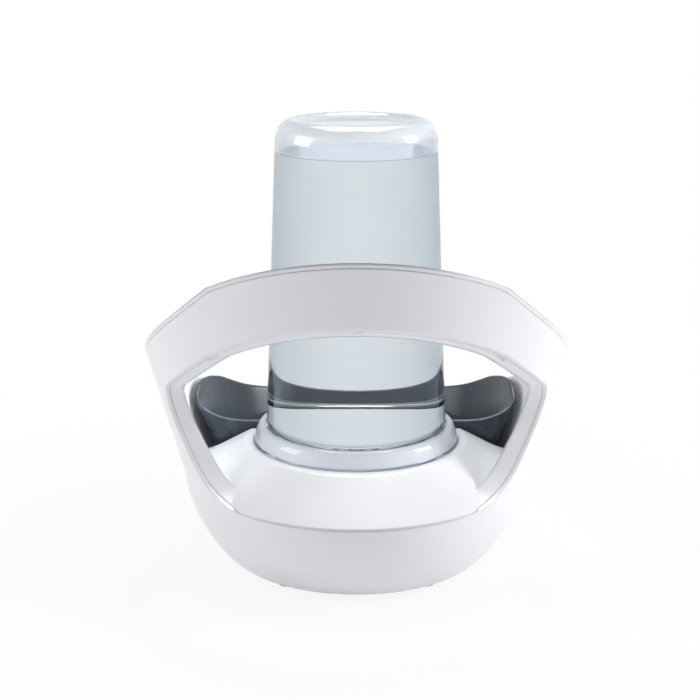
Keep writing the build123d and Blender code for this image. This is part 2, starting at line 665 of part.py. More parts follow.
def make_gasket():
    low = cap_floor_top()
    keep("cap_gasket", turned([(NECK_RADIUS - GASKET_WIDTH, low), (NECK_RADIUS, low),
                               (NECK_RADIUS, MOUTH_HEIGHT), (NECK_RADIUS - GASKET_WIDTH, MOUTH_HEIGHT)]))


def make_valve():
    head_low = cap_floor_top() + VALVE_OPEN + SEAL_THICKNESS
    head_top = head_low + STEM_HEAD
    guide_top = CAGE_TOP + 1
    keep("valve_stem", turned([(0, POST_TOP), (STEM_RADIUS, POST_TOP), (STEM_RADIUS, head_low),
                               (STEM_HEAD_RADIUS, head_low), (STEM_HEAD_RADIUS, head_top),
                               (STEM_RADIUS, head_top), (STEM_RADIUS, guide_top), (0, guide_top)]))
    seal_low = head_low - SEAL_THICKNESS
    keep("valve_seal", turned([(STEM_RADIUS, seal_low), (STEM_HEAD_RADIUS - 0.6, seal_low),
                               (STEM_HEAD_RADIUS - 0.6, head_low), (STEM_RADIUS, head_low)]))
    low = head_top + SPRING_WIRE / 2
    high = CAGE_TOP - CAGE_WALL - SPRING_WIRE / 2
    pitch = (high - low) / SPRING_TURNS
    path = Helix(pitch, high - low, SPRING_RADIUS)
    start = Plane(origin=path @ 0, z_dir=path % 0)
    coil = sweep(start * RegularPolygon(SPRING_WIRE / 2, 6), path=path, is_frenet=True)
    keep("valve_spring", Pos(0, AXIS_Y, low) * coil)


# ---- bottle --------------------------------------------------------------------------------------------

def bottle_profile(inset, mouth):
    """Half section of the upside-down bottle, with the wall taken off all round."""
    low = BOTTLE_LOW + inset
    crown = BOTTLE_TOP - inset
    side_low = (BOTTLE_LOW_RADIUS - inset, low + BOTTLE_HEEL)
    side_high = (BOTTLE_HIGH_RADIUS - inset, BOTTLE_HIGH)
    across = side_high[0] - (BOTTLE_CROWN_RADIUS - inset / 2)
    middle = (side_high[0] - across * (1 - cos(pi / 4)), BOTTLE_HIGH + (crown - BOTTLE_HIGH) * sin(pi / 4))
    top = (BOTTLE_CROWN_RADIUS - inset / 2, crown)
    dish_low = crown - BOTTLE_DISH
    lines = [Polyline((0, mouth), (NECK_RADIUS - inset, mouth), (NECK_RADIUS - inset, low),
                      (side_low[0] - BOTTLE_HEEL, low), side_low, side_high),
             ThreePointArc(side_high, middle, top),
             Polyline(top, (top[0] - BOTTLE_DISH_EDGE, dish_low), (0, dish_low), (0, mouth))]
    return make_face(lines)


def make_bottle():
    outside = revolve(Plane.XZ * bottle_profile(0, MOUTH_HEIGHT), Axis.Z)
    inside = revolve(Plane.XZ * bottle_profile(BOTTLE_WALL, MOUTH_HEIGHT - 1), Axis.Z)
    keep("reservoir_bottle", Pos(0, AXIS_Y, 0) * (outside - inside))


make_outer_shell()
make_upper_housing()
make_reader_coil()
make_bowl()
make_tray()
make_load_cell()
make_load_cell_screws()
make_base_plate()
make_feet()
make_base_screws()
make_batteries()
make_battery_contacts()
make_battery_door()
make_door_screw()
make_board()
make_button()
make_cap()
make_gasket()
make_valve()
make_bottle()

# The finished model stands with the middle of its outline over the origin.
box = group(parts.values()).bounding_box()
middle_x = (box.min.X + box.max.X) / 2
middle_y = (box.min.Y + box.max.Y) / 2
print("moved by", round(-middle_x, 4), round(-middle_y, 4))
for name, shape in parts.items():
    export_step(Pos(-middle_x, -middle_y, 0) * shape, "parts/" + name + ".step")
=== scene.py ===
import bpy, bmesh, math
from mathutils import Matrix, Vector


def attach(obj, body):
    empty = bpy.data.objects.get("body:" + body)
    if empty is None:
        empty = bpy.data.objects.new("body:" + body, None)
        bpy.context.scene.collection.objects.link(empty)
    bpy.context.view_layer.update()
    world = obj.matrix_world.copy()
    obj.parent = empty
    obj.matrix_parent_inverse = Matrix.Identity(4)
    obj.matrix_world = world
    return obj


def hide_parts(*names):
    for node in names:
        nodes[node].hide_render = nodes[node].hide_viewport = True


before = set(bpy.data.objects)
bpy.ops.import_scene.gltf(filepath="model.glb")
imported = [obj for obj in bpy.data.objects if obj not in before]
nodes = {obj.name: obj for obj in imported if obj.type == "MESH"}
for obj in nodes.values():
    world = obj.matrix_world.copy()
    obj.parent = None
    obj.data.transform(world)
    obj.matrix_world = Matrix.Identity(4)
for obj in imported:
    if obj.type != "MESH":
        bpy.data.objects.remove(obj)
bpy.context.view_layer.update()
mm = 0.001
axisY = -1.07  # the bottle's, collar's and well's common axis, in mm
mergeDistance = 0.004  # in mm, closes the seam and the poles of a turned piece
print("frame loaded:", len(nodes), "nodes")


def hexColour(code):
    # sRGB hex to linear
    shares = [int(code[i:i + 2], 16) / 255 for i in (1, 3, 5)]
    linear = [v / 12.92 if v <= 0.04045 else ((v + 0.055) / 1.055) ** 2.4 for v in shares]
    return tuple(linear) + (1.0,)


def addNode(tree, kind, links=None, **settings):
    # one shader node; links maps an input to (node, output) or to a plain value
    node = tree.nodes.new("ShaderNode" + kind)
    for name, value in settings.items():
        setattr(node, name, value)
    for name, source in (links or {}).items():
        if isinstance(source, tuple) and isinstance(source[0], bpy.types.Node):
            tree.links.new(source[0].outputs[source[1]], node.inputs[name])
        else:
            node.inputs[name].default_value = source
    return node


def newTree(data):
    # an empty node tree on a material or world
    data.use_nodes = True
    data.node_tree.nodes.clear()
    return data.node_tree


def newMaterial(name):
    material = bpy.data.materials.new(name)
    return material, newTree(material)


def deselectAll():
    if bpy.context.object and bpy.context.object.mode != "OBJECT":
        bpy.ops.object.mode_set(mode="OBJECT")
    bpy.ops.object.select_all(action="DESELECT")


def pick(piece):
    deselectAll()
    piece.select_set(True)
    bpy.context.view_layer.objects.active = piece


def paint(piece, material):
    piece.data.materials.clear()
    piece.data.materials.append(material)


def arc(centre, radii, start, end, count):
    # points of an elliptical arc in a half profile, angles in degrees from straight out
    angles = [math.radians(start + (end - start) * i / count) for i in range(count + 1)]
    return [(centre[0] + radii[0] * math.cos(angle), centre[1] + radii[1] * math.sin(angle))
            for angle in angles]


def endEdit():
    # turns all faces outwards and leaves edit mode
    bpy.ops.mesh.select_all(action="SELECT")
    bpy.ops.mesh.normals_make_consistent(inside=False)
    bpy.ops.object.mode_set(mode="OBJECT")


def turned(name, outline, steps):
    # one vertex drawn along a half profile of (radius, height) in mm, then spun about the axis
    deselectAll()
    start = outline[0]
    bpy.ops.mesh.primitive_plane_add(size=mm, location=(start[0] * mm, axisY * mm, start[1] * mm))
    piece = bpy.context.object
    piece.name = name
    bpy.ops.object.transform_apply(location=True, rotation=True, scale=True)
    bpy.ops.object.mode_set(mode="EDIT")
    bpy.ops.mesh.select_all(action="SELECT")
    bpy.ops.mesh.merge(type="CENTER")
    for (radius, height), (nextRadius, nextHeight) in zip(outline, outline[1:]):
        move = ((nextRadius - radius) * mm, 0, (nextHeight - height) * mm)
        bpy.ops.mesh.extrude_vertices_move(TRANSFORM_OT_translate={"value": move})
    bpy.ops.mesh.select_all(action="SELECT")
    bpy.ops.mesh.spin(steps=steps, angle=2 * math.pi, center=(0, axisY * mm, 0), axis=(0, 0, 1))
    bpy.ops.mesh.select_all(action="SELECT")
    bpy.ops.mesh.remove_doubles(threshold=mergeDistance * mm)
    endEdit()
    return piece


def addModifier(piece, kind, **settings):
    # adds a modifier and applies it at once
    pick(piece)
    modifier = piece.modifiers.new(kind.lower(), kind)
    for name, value in settings.items():
        setattr(modifier, name, value)
    bpy.ops.object.modifier_apply(modifier=modifier.name)


def combine(piece, other, operation):
    addModifier(piece, "BOOLEAN", object=other, operation=operation, solver="EXACT")
    bpy.data.objects.remove(other)


def smooth(piece, degrees):
    pick(piece)
    bpy.ops.object.shade_smooth_by_angle(angle=math.radians(degrees))


def mouldedPlastic(name, colour, roughness, edge, grain=0.5, flow=18.0, gloss=0.5):
    # Injection-moulded plastic: an even satin sheen, a spark-eroded grain too fine to see from a step away
    # (drawn at half a millimetre so that it shows close up), and edges that the tool's radius softens
    material, tree = newMaterial(name)
    place = addNode(tree, "TexCoord")
    spark = addNode(tree, "TexNoise", {"Vector": (place, "Object"), "Scale": 1 / (grain * mm), "Detail": 2.0})
    sink = addNode(tree, "TexNoise", {"Vector": (place, "Object"), "Scale": 1 / (flow * mm), "Detail": 2.0})
    rough = addNode(tree, "MapRange", {
        "Value": (sink, "Fac"), "To Min": roughness - 0.04, "To Max": roughness + 0.05})
    tone = addNode(tree, "MapRange", {"Value": (sink, "Fac"), "To Min": 0.985, "To Max": 1.0})
    shade = addNode(tree, "VectorMath", {0: hexColour(colour)[:3], "Scale": (tone, "Result")},
                    operation="SCALE")
    corner = addNode(tree, "Bevel", {"Radius": edge * mm}, samples=6)
    bump = addNode(tree, "Bump", {
        "Height": (spark, "Fac"), "Strength": 0.05, "Distance": 0.02 * mm, "Normal": (corner, "Normal")})
    shader = addNode(tree, "BsdfPrincipled", {
        "Base Color": (shade, "Vector"), "Roughness": (rough, "Result"), "IOR": 1.54,
        "Specular IOR Level": gloss, "Normal": (bump, "Normal")})
    addNode(tree, "OutputMaterial", {"Surface": (shader, "BSDF")})
    return material


def plainMaterial(name, colour, roughness, metallic=0.0, ior=1.5, grain=4.0, vary=0.06):
    # small and mostly hidden parts: one colour with an uneven sheen
    material, tree = newMaterial(name)
    place = addNode(tree, "TexCoord")
    cloud = addNode(tree, "TexNoise", {"Vector": (place, "Object"), "Scale": 1 / (grain * mm), "Detail": 3.0})
    rough = addNode(tree, "MapRange", {
        "Value": (cloud, "Fac"), "To Min": roughness - vary, "To Max": roughness + vary})
    bump = addNode(tree, "Bump", {"Height": (cloud, "Fac"), "Strength": 0.04, "Distance": 0.05 * mm})
    shader = addNode(tree, "BsdfPrincipled", {
        "Base Color": hexColour(colour), "Roughness": (rough, "Result"), "Metallic": metallic, "IOR": ior,
        "Normal": (bump, "Normal")})
    addNode(tree, "OutputMaterial", {"Surface": (shader, "BSDF")})
    return material


noPaintedReflection = (1000.0, 1001.0, 1.0)  # heights in mm that no piece reaches


def clearMaterial(name, colour, edgeShadeColour, ior, wave, depth, roughness=0.0, paintedReflection=noPaintedReflection):
    # Clear plastic or water, with painted shade: its colour darkens where it is seen edge on. wave and depth
    # are the length and height in mm of the slow unevenness that bends what is seen through it. Lamp light
    # passes it as it passes a thin clear wall. The last argument gives the heights in mm between which it is
    # painted cloudy, a painted reflection, and how clear it stays
    material, tree = newMaterial(name)
    place = addNode(tree, "TexCoord")
    swell = addNode(tree, "TexNoise", {"Vector": (place, "Object"), "Scale": 1 / (wave * mm), "Detail": 1.0})
    bump = addNode(tree, "Bump", {"Height": (swell, "Fac"), "Strength": 1.0, "Distance": depth * mm})
    # painted shade: the colour turns towards the darker edge colour where the surface is seen edge on
    edge = addNode(tree, "LayerWeight", {"Blend": 0.3})
    # a Mix node of colours has them at inputs 6 and 7, and the result at output 2
    edgeShadeTint = addNode(tree, "Mix", {"Factor": (edge, "Facing")}, data_type="RGBA")
    edgeShadeTint.inputs[6].default_value = hexColour(colour)
    edgeShadeTint.inputs[7].default_value = hexColour(edgeShadeColour)
    path = addNode(tree, "LightPath")
    solid = addNode(tree, "MapRange", {"Value": (path, "Is Shadow Ray"), "To Min": 1.0, "To Max": 0.03})
    # painted reflection: between the given heights the clear surface turns cloudy and shows its own pale
    # colour
    split = addNode(tree, "SeparateXYZ", {"Vector": (place, "Object")})
    clear = addNode(tree, "MapRange", {
        "Value": (split, "Z"), "From Min": paintedReflection[0] * mm, "From Max": paintedReflection[1] * mm,
        "To Min": 1.0, "To Max": paintedReflection[2]}, interpolation_type="SMOOTHSTEP")
    shader = addNode(tree, "BsdfPrincipled", {
        "Roughness": roughness, "IOR": ior, "Transmission Weight": (clear, "Result"),
        "Normal": (bump, "Normal"), "Alpha": (solid, "Result")})
    tree.links.new(edgeShadeTint.outputs[2], shader.inputs["Base Color"])
    addNode(tree, "OutputMaterial", {"Surface": (shader, "BSDF")})
    return material


shellAbs = mouldedPlastic("white moulded ABS", "#F3F4F7", 0.36, 1.0)
liningAbs = mouldedPlastic("white moulded ABS, soft corners", "#F3F4F7", 0.36, 2.4)
slateAbs = mouldedPlastic("slate moulded ABS", "#363F49", 0.26, 1.2, gloss=0.28)
# the second colour given to each clear material below is painted shade, shown where it is seen edge on
# the bottle's wall stands against water, so its index is lower than copolyester's and its faces reflect less
bottlePet = clearMaterial("blown copolyester", "#ECF1F4", "#A6B3C0", 1.2, 45.0, 0.03, 0.02)
# above the water the wall meets air: it reflects more, and towards its top the crown is painted cloudy white,
# a painted reflection of the light above it
crownPet = clearMaterial("blown copolyester, painted reflection on the crown", "#F4F6F9", "#B4C0CC", 1.52, 45.0,
                         0.03, 0.06, (261.0, 270.5, 0.25))
collarSan = clearMaterial("moulded SAN", "#E9ECF1", "#98A3B2", 1.56, 25.0, 0.02)
stillWater = clearMaterial("still water", "#FCFAF9", "#E4E6E8", 1.33, 60.0, 0.01)
# the water's surface, seen through the crown from a little above, is painted pale and half cloudy, a painted
# reflection
waterFilm = clearMaterial("water surface", "#CDD5DD", "#C3CCD6", 1.06, 60.0, 0.01, 0.1, (0.0, 1.0, 0.45))
bowlWater = clearMaterial("rippled water", "#E9F0F4", "#E0E8EC", 1.33, 16.0, 0.1)
frostedSan = mouldedPlastic("spark textured SAN", "#EDEFF4", 0.5, 0.5)
greyRubber = plainMaterial("grey moulded rubber", "#7A7B7E", 0.7)
blackSilicone = plainMaterial("black silicone", "#15161A", 0.55)
naturalAcetal = plainMaterial("natural acetal", "#DCDDDE", 0.4)
zincSteel = plainMaterial("zinc plated steel", "#B8BABD", 0.32, metallic=1.0)
springSteel = plainMaterial("stainless wire", "#BFC1C4", 0.22, metallic=1.0)
beamAluminium = plainMaterial("machined aluminium", "#C9CACC", 0.35, metallic=1.0)
boardGreen = plainMaterial("solder mask", "#1E6B45", 0.4)
chipEpoxy = plainMaterial("moulded epoxy", "#1B1B1E", 0.5)
windingCopper = plainMaterial("enamelled copper", "#B56A3C", 0.35, metallic=1.0)
cellSleeve = plainMaterial("shrink sleeve", "#55585E", 0.35)
nickelPlate = plainMaterial("nickel plate", "#C5C3BD", 0.28, metallic=1.0)

finishes = {
    "outer_shell": shellAbs, "upper_housing": liningAbs, "base_plate": shellAbs, "battery_door": shellAbs,
    "weigh_tray": shellAbs, "setup_button": shellAbs, "rubber_feet": greyRubber, "drinking_bowl": slateAbs,
    "cap_gasket": blackSilicone, "valve_seal": blackSilicone, "valve_stem": naturalAcetal,
    "valve_spring": springSteel, "load_cell": beamAluminium, "load_cell_screws": zincSteel,
    "tray_screws": zincSteel, "base_screws": zincSteel, "board_screws": zincSteel, "door_screw": zincSteel,
    "circuit_board": boardGreen, "board_parts": chipEpoxy, "reader_coil": windingCopper,
    "batteries": cellSleeve, "battery_plates": nickelPlate, "battery_springs": nickelPlate,
    "reservoir_bottle": bottlePet, "collar_cap": collarSan,
}
for name, material in finishes.items():
    paint(nodes[name], material)
print("materials on", len(finishes), "nodes")

# Bottle, upside down: a thick blown wall, a soft crown and a shallow dish in its upturned bottom. The wall
# has a ring of points at the water level, where the crown's material begins
bottle = {"wall": 1.8, "mouth": 70.0, "neck": 44.0, "neckRound": 1.5, "low": 88.8, "lowRadius": 53.9,
          "heel": 3.0, "high": 259.0, "highRadius": 46.9, "crown": 272.0, "crownRadius": 37.6, "steps": 144,
          "dish": ((36.6, 271.9), (35.6, 271.5), (34.6, 270.9), (33.2, 270.2), (31.0, 269.6), (27.0, 269.2),
                   (18.0, 269.0), (0.0, 268.9))}
fill = {"level": 253.3, "floor": 90.3, "overlap": 0.3, "corner": 0.8, "filmDepth": 0.1, "wallWider": 0.23,
        "meniscus": ((0.0, 0.5), (0.6, 0.1), (1.6, 0.0))}
heel = bottle["heel"]
neckRound = bottle["neckRound"]
outline = [(bottle["neck"], bottle["mouth"])]
outline += arc((bottle["neck"] + neckRound, bottle["low"] - neckRound), (neckRound, neckRound), 180, 90, 4)
outline += arc((bottle["lowRadius"] - heel, bottle["low"] + heel), (heel, heel), 270, 360, 6)
outline += [(bottle["highRadius"] + fill["wallWider"], fill["level"])]
outline += arc((bottle["crownRadius"], bottle["high"]),
               (bottle["highRadius"] - bottle["crownRadius"], bottle["crown"] - bottle["high"]), 0, 90, 12)
outline += bottle["dish"]
bottleWall = turned("bottleWall", outline, bottle["steps"])
addModifier(bottleWall, "SOLIDIFY", thickness=bottle["wall"] * mm, offset=-1, use_even_offset=True)
smooth(bottleWall, 40)
paint(bottleWall, bottlePet)
bottleWall.data.materials.append(crownPet)
for face in bottleWall.data.polygons:
    face.material_index = 1 if face.center.z > fill["level"] * mm else 0
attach(bottleWall, "reservoir")
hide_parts("reservoir_bottle")
print("bottle turned:", len(bottleWall.data.polygons), "faces")

# Water in the bottle: it reaches a little into the wall, so that no film of air shows between the two. Its
# flat underside mirrors what is behind it, so the neck and the valve aren't seen through the bottle
inside = bottle["wall"] - fill["overlap"]
slope = (bottle["lowRadius"] - bottle["highRadius"]) / (bottle["high"] - bottle["low"] - heel)
topRadius = bottle["highRadius"] - inside + slope * (bottle["high"] - fill["level"])
lowestRadius = bottle["highRadius"] - inside + slope * (bottle["high"] - fill["floor"])
outline = [(0.0, fill["floor"]), (lowestRadius - fill["corner"], fill["floor"]),
           (lowestRadius, fill["floor"] + fill["corner"])]
outline += [(topRadius - inwards, fill["level"] + rise) for inwards, rise in fill["meniscus"]]
outline += [(0.0, fill["level"])]
bottleFill = turned("bottleFill", outline, bottle["steps"])
smooth(bottleFill, 40)
paint(bottleFill, stillWater)
bottleFill.data.materials.append(waterFilm)
for face in bottleFill.data.polygons:
    face.material_index = 1 if face.center.z > (fill["level"] - fill["filmDepth"]) * mm else 0
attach(bottleFill, "reservoir")
print("bottle filled to", fill["level"], "mm")

# Collar cap: a clear rounded ring round the bottle's heel. Inside it are a frosted floor and thread, and a
# clear cage that guides the valve
collar = {"radius": 61.0, "low": 66.0, "floor": 69.0, "shoulder": 80.5, "top": 90.4, "crest": 56.6,
          "lip": 54.2, "lipRound": 0.7, "lipDepth": 2.0, "inner": 58.4, "port": 8.0, "corner": 0.6,
          "insideCorner": (0.5, 1.5), "guide": (52.1, 54.6, 63.0), "thread": (44.4, 47.0, 86.4),
          "threadCorner": 0.5, "frostInside": 1.0, "frostAbove": 0.5, "steps": 144}
radius, inner, lip, port = collar["radius"], collar["inner"], collar["lip"], collar["port"]
capLow, capFloor, capTop, shoulder = collar["low"], collar["floor"], collar["top"], collar["shoulder"]
corner, lipRound, near, far = collar["corner"], collar["lipRound"], *collar["insideCorner"]
guideInner, guideOuter, guideLow = collar["guide"]
threadInner, threadOuter, threadTop = collar["thread"]
threadCorner = collar["threadCorner"]
outline = [(port, capLow), (guideInner, capLow), (guideInner, guideLow), (guideOuter, guideLow),
           (guideOuter, capLow), (radius - corner, capLow), (radius, capLow + corner)]
outline += arc((collar["crest"], shoulder), (radius - collar["crest"], capTop - shoulder), 0, 90, 10)
outline += arc((lip + lipRound, capTop - lipRound), (lipRound, lipRound), 90, 180, 4)
outline += [(lip, capTop - collar["lipDepth"]), (inner, shoulder), (inner, capFloor + far),
            (inner - near, capFloor + near), (inner - far, capFloor), (threadOuter, capFloor),
            (threadOuter, threadTop - threadCorner), (threadOuter - threadCorner, threadTop),
            (threadInner + threadCorner, threadTop), (threadInner, threadTop - threadCorner),
            (threadInner, capFloor), (port, capFloor), (port, capLow)]
collarCap = turned("collarCap", outline, collar["steps"])
collarCap.data.materials.append(collarSan)
collarCap.data.materials.append(frostedSan)
frostReach = (inner - collar["frostInside"]) * mm
frostTop = (threadTop + collar["frostAbove"]) * mm
for face in collarCap.data.polygons:
    reach = math.hypot(face.center.x, face.center.y - axisY * mm)
    face.material_index = 1 if reach < frostReach and face.center.z < frostTop else 0

cage = {"inner": 12.5, "outer": 14.5, "top": 88.0, "roof": 2.0, "bore": 2.5, "sunk": 0.1, "steps": 48,
        "slot": 7.0, "slotLow": 72.0, "slotTop": 86.0, "slotLength": 45, "slotAngles": (0, 60, 120),
        "hub": 4.1, "hubSteps": 32, "rib": 1.4, "ribLap": 0.2, "ribAngles": (0, 120, 240)}
cageLow = capFloor - cage["sunk"]
roofLow = cage["top"] - cage["roof"]
outline = [(cage["inner"], cageLow), (cage["outer"], cageLow), (cage["outer"], cage["top"]),
           (cage["bore"], cage["top"]), (cage["bore"], roofLow), (cage["inner"], roofLow),
           (cage["inner"], cageLow)]
valveCage = turned("valveCage", outline, cage["steps"])


def bar(name, centre, size, angle):
    # a bar turned about the axis, to cut with or to keep
    deselectAll()
    bpy.ops.mesh.primitive_cube_add(size=1, location=(centre[0] * mm, centre[1] * mm, centre[2] * mm))
    piece = bpy.context.object
    piece.name = name
    piece.scale = [v * mm for v in size]
    bpy.ops.object.transform_apply(location=True, rotation=True, scale=True)
    bpy.ops.object.mode_set(mode="EDIT")
    bpy.ops.mesh.select_all(action="SELECT")
    bpy.ops.transform.rotate(value=math.radians(-angle), orient_axis="Z", center_override=(0, axisY * mm, 0))
    bpy.ops.object.mode_set(mode="OBJECT")
    return piece


slotMiddle = (cage["slotLow"] + cage["slotTop"]) / 2
slotSize = (cage["slotLength"], cage["slot"], cage["slotTop"] - cage["slotLow"])
for angle in cage["slotAngles"]:
    combine(valveCage, bar("slot", (0, axisY, slotMiddle), slotSize, angle), "DIFFERENCE")
hub = turned("hub", [(cage["bore"], capLow), (cage["hub"], capLow), (cage["hub"], capFloor),
                     (cage["bore"], capFloor), (cage["bore"], capLow)], cage["hubSteps"])
height = capFloor - capLow
length = port - cage["hub"] + 2 * cage["ribLap"]
ribCentre = (cage["hub"] + length / 2 - cage["ribLap"], axisY, capLow + height / 2)
ribSize = (length, cage["rib"], height - cage["sunk"])
ribs = [bar("rib", ribCentre, ribSize, angle) for angle in cage["ribAngles"]]
for piece in [valveCage, hub] + ribs:
    paint(piece, collarSan)
deselectAll()
for piece in [valveCage, hub] + ribs:
    piece.select_set(True)
collarCap.select_set(True)
bpy.context.view_layer.objects.active = collarCap
bpy.ops.object.join()
smooth(collarCap, 35)
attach(collarCap, "collar")
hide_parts("collar_cap")
print("collar and valve cage:", len(collarCap.data.polygons), "faces")

# Bowl: a D-shaped dish with a rim that rises at both sides, and a well behind it that the collar stands in
bowl = {"floor": 45.0, "back": 17.93, "foot": 9.0, "footSteps": 6, "wall": 3.0, "wallRows": 8, "steps": 192,
        "cornerShare": 0.26, "turnStep": 0.002, "rimRound": 1.3, "rimAngle": 60, "well": (55.0, 58.0, 66.0),
        "wellFloor": 3.5, "wellRoomTop": 70.0, "collarRoom": 63.0, "roomTop": 130.0, "dishHeight": 35.0,
        "sunk": 0.2, "post": (2.6, 1.0, 61.0), "roundSteps": 128, "postSteps": 32}
footPlan = {"halfWidth": 82.0, "widest": 38.0, "front": 113.5, "straight": 56.0}
rimPlan = {"halfWidth": 100.9, "widest": 31.0, "front": 124.6, "straight": 66.0}
rimHeights = ((17.0, 84.0), (18.6, 84.8), (21.0, 87.1), (23.5, 89.4), (28.0, 93.4), (36.0, 98.2),
              (46.0, 101.4), (58.0, 100.9), (66.0, 99.1), (74.0, 96.4), (83.0, 91.5), (93.5, 85.5),
              (102.0, 81.6), (108.0, 79.2), (114.0, 76.8), (120.0, 75.3), (127.0, 75.0))  # y and height


def along(table, at):
    # a smooth curve through the rows of a table
    for i in range(1, len(table)):
        if at <= table[i][0]:
            break
    (start, low), (end, high) = table[i - 1], table[i]
    before, after = table[max(i - 2, 0)], table[min(i + 1, len(table) - 1)]
    lowSlope = (high - before[1]) / (end - before[0]) * (end - start)
    highSlope = (after[1] - low) / (after[0] - start) * (end - start)
    t = (at - start) / (end - start)
    return ((2 * t**3 - 3 * t**2 + 1) * low + (t**3 - 2 * t**2 + t) * lowSlope
            + (3 * t**2 - 2 * t**3) * high + (t**3 - t**2) * highSlope)


def planPoint(plan, turn):
    # x and y on a D-shaped plan, turn going from 0 to 1 anticlockwise from its right side
    widest, straight = plan["widest"], plan["straight"]
    if turn <= 0.5:
        angle = 2 * math.pi * turn
        return plan["halfWidth"] * math.cos(angle), widest + (plan["front"] - widest) * math.sin(angle)
    side, part = (-1, 2 * turn - 1) if turn < 0.75 else (1, 2 - 2 * turn)
    if part < bowl["cornerShare"]:
        angle = math.pi / 2 * part / bowl["cornerShare"]
        return (side * (straight + (plan["halfWidth"] - straight) * math.cos(angle)),
                widest - (widest - bowl["back"]) * math.sin(angle))
    return side * straight * (0.5 - part) / (0.5 - bowl["cornerShare"]), bowl["back"]


def wallPoint(turn, height):
    # x and y on the bowl's outer wall
    footX, footY = planPoint(footPlan, turn % 1)
    rimX, rimY = planPoint(rimPlan, turn % 1)
    share = (height - bowl["floor"]) / (along(rimHeights, rimY) - bowl["floor"])
    return footX + (rimX - footX) * share, footY + (rimY - footY) * share


def footRows(inset):
    # the rounded foot as rows of (height above the floor, share of the rest of the wall, inset)
    count = bowl["footSteps"]
    angles = [math.radians(90 / count * i) for i in range(count + 1)]
    return [(bowl["foot"] - (bowl["foot"] - inset) * math.cos(angle), 0.0,
             bowl["foot"] - (bowl["foot"] - inset) * math.sin(angle)) for angle in angles]


def dishBlock(name, rows):
    # a round block drawn up in rows, each then set on the bowl's wall or inside it
    deselectAll()
    bpy.ops.mesh.primitive_circle_add(vertices=bowl["steps"], radius=1, fill_type="NGON", location=(0, 0, 0))
    piece = bpy.context.object
    piece.name = name
    bpy.ops.object.mode_set(mode="EDIT")
    bpy.ops.mesh.select_all(action="SELECT")
    for row in rows[1:]:
        bpy.ops.mesh.extrude_region_move(TRANSFORM_OT_translate={"value": (0, 0, 1)})
    mesh = bmesh.from_edit_mesh(piece.data)
    for vertex in mesh.verts:
        turn = (math.atan2(vertex.co.y, vertex.co.x) / (2 * math.pi)) % 1
        lift, share, inset = rows[round(vertex.co.z)]
        rim = along(rimHeights, planPoint(rimPlan, turn)[1])
        height = bowl["floor"] + lift + (rim - bowl["floor"] - bowl["foot"]) * share
        x, y = wallPoint(turn, height)
        backX, backY = wallPoint(turn - bowl["turnStep"], height)
        aheadX, aheadY = wallPoint(turn + bowl["turnStep"], height)
        reach = inset / math.hypot(aheadX - backX, aheadY - backY)
        vertex.co = ((x - (aheadY - backY) * reach) * mm, (y + (aheadX - backX) * reach) * mm, height * mm)
    bmesh.update_edit_mesh(piece.data)
    endEdit()
    return piece


def disc(name, radius, low, high, steps):
    # a round block about the axis
    deselectAll()
    bpy.ops.mesh.primitive_circle_add(vertices=steps, radius=radius * mm, fill_type="NGON",
                                      location=(0, axisY * mm, low * mm))
    piece = bpy.context.object
    piece.name = name
    bpy.ops.object.transform_apply(location=True, rotation=True, scale=True)
    bpy.ops.object.mode_set(mode="EDIT")
    bpy.ops.mesh.select_all(action="SELECT")
    bpy.ops.mesh.extrude_region_move(TRANSFORM_OT_translate={"value": (0, 0, (high - low) * mm)})
    endEdit()
    return piece


wallRows = [(bowl["foot"], i / bowl["wallRows"], 0.0) for i in range(1, bowl["wallRows"] + 1)]
waterBowl = dishBlock("waterBowl", footRows(0.0) + wallRows)
# the block's top face goes, which leaves an open dish for the wall's thickness
pick(waterBowl)
bpy.ops.object.mode_set(mode="EDIT")
bpy.ops.mesh.select_all(action="DESELECT")
mesh = bmesh.from_edit_mesh(waterBowl.data)
footTop = (bowl["floor"] + bowl["foot"]) * mm
for face in mesh.faces:
    face.select = len(face.verts) == bowl["steps"] and face.calc_center_median().z > footTop
bmesh.update_edit_mesh(waterBowl.data)
bpy.ops.mesh.delete(type="ONLY_FACE")
bpy.ops.object.mode_set(mode="OBJECT")
addModifier(waterBowl, "SOLIDIFY", thickness=bowl["wall"] * mm, offset=-1, use_even_offset=True)
addModifier(waterBowl, "BEVEL", width=bowl["rimRound"] * mm, segments=4, limit_method="ANGLE",
            angle_limit=math.radians(bowl["rimAngle"]))
roundSteps = bowl["roundSteps"]
wellInner, wellOuter, wellTop = bowl["well"]
wellFloor = bowl["floor"] + bowl["wellFloor"]
postRadius, postLow, postTop = bowl["post"]
inset = bowl["wall"] - bowl["sunk"]
well = disc("well", wellOuter, bowl["floor"], wellTop, roundSteps)
combine(well, dishBlock("dishRoom", footRows(inset) + [(bowl["dishHeight"], 0.0, inset)]), "DIFFERENCE")
combine(waterBowl, disc("collarRoom", bowl["collarRoom"], wellTop, bowl["roomTop"], roundSteps), "DIFFERENCE")
combine(waterBowl, well, "UNION")
combine(waterBowl, disc("wellRoom", wellInner, wellFloor, bowl["wellRoomTop"], roundSteps), "DIFFERENCE")
combine(waterBowl, disc("post", postRadius, bowl["floor"] + postLow, postTop, bowl["postSteps"]), "UNION")
smooth(waterBowl, 35)
paint(waterBowl, slateAbs)
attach(waterBowl, "bowl")
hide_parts("drinking_bowl")
print("bowl:", len(waterBowl.data.polygons), "faces")

# Water in the bowl: one level pool through the dish and the well behind it, reaching a little into the walls
pool = {"level": 65.8, "floor": 48.4, "overlap": 0.3}
beside = bowl["wall"] - pool["overlap"]
bowlFill = dishBlock("bowlFill", footRows(beside) + [(pool["level"] - bowl["floor"], 0.0, beside)])
wellFill = disc("wellFill", wellInner + pool["overlap"], pool["floor"], pool["level"], roundSteps)
combine(bowlFill, wellFill, "UNION")
smooth(bowlFill, 30)
paint(bowlFill, bowlWater)
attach(bowlFill, "bowl")
print("bowl filled to", pool["level"], "mm")

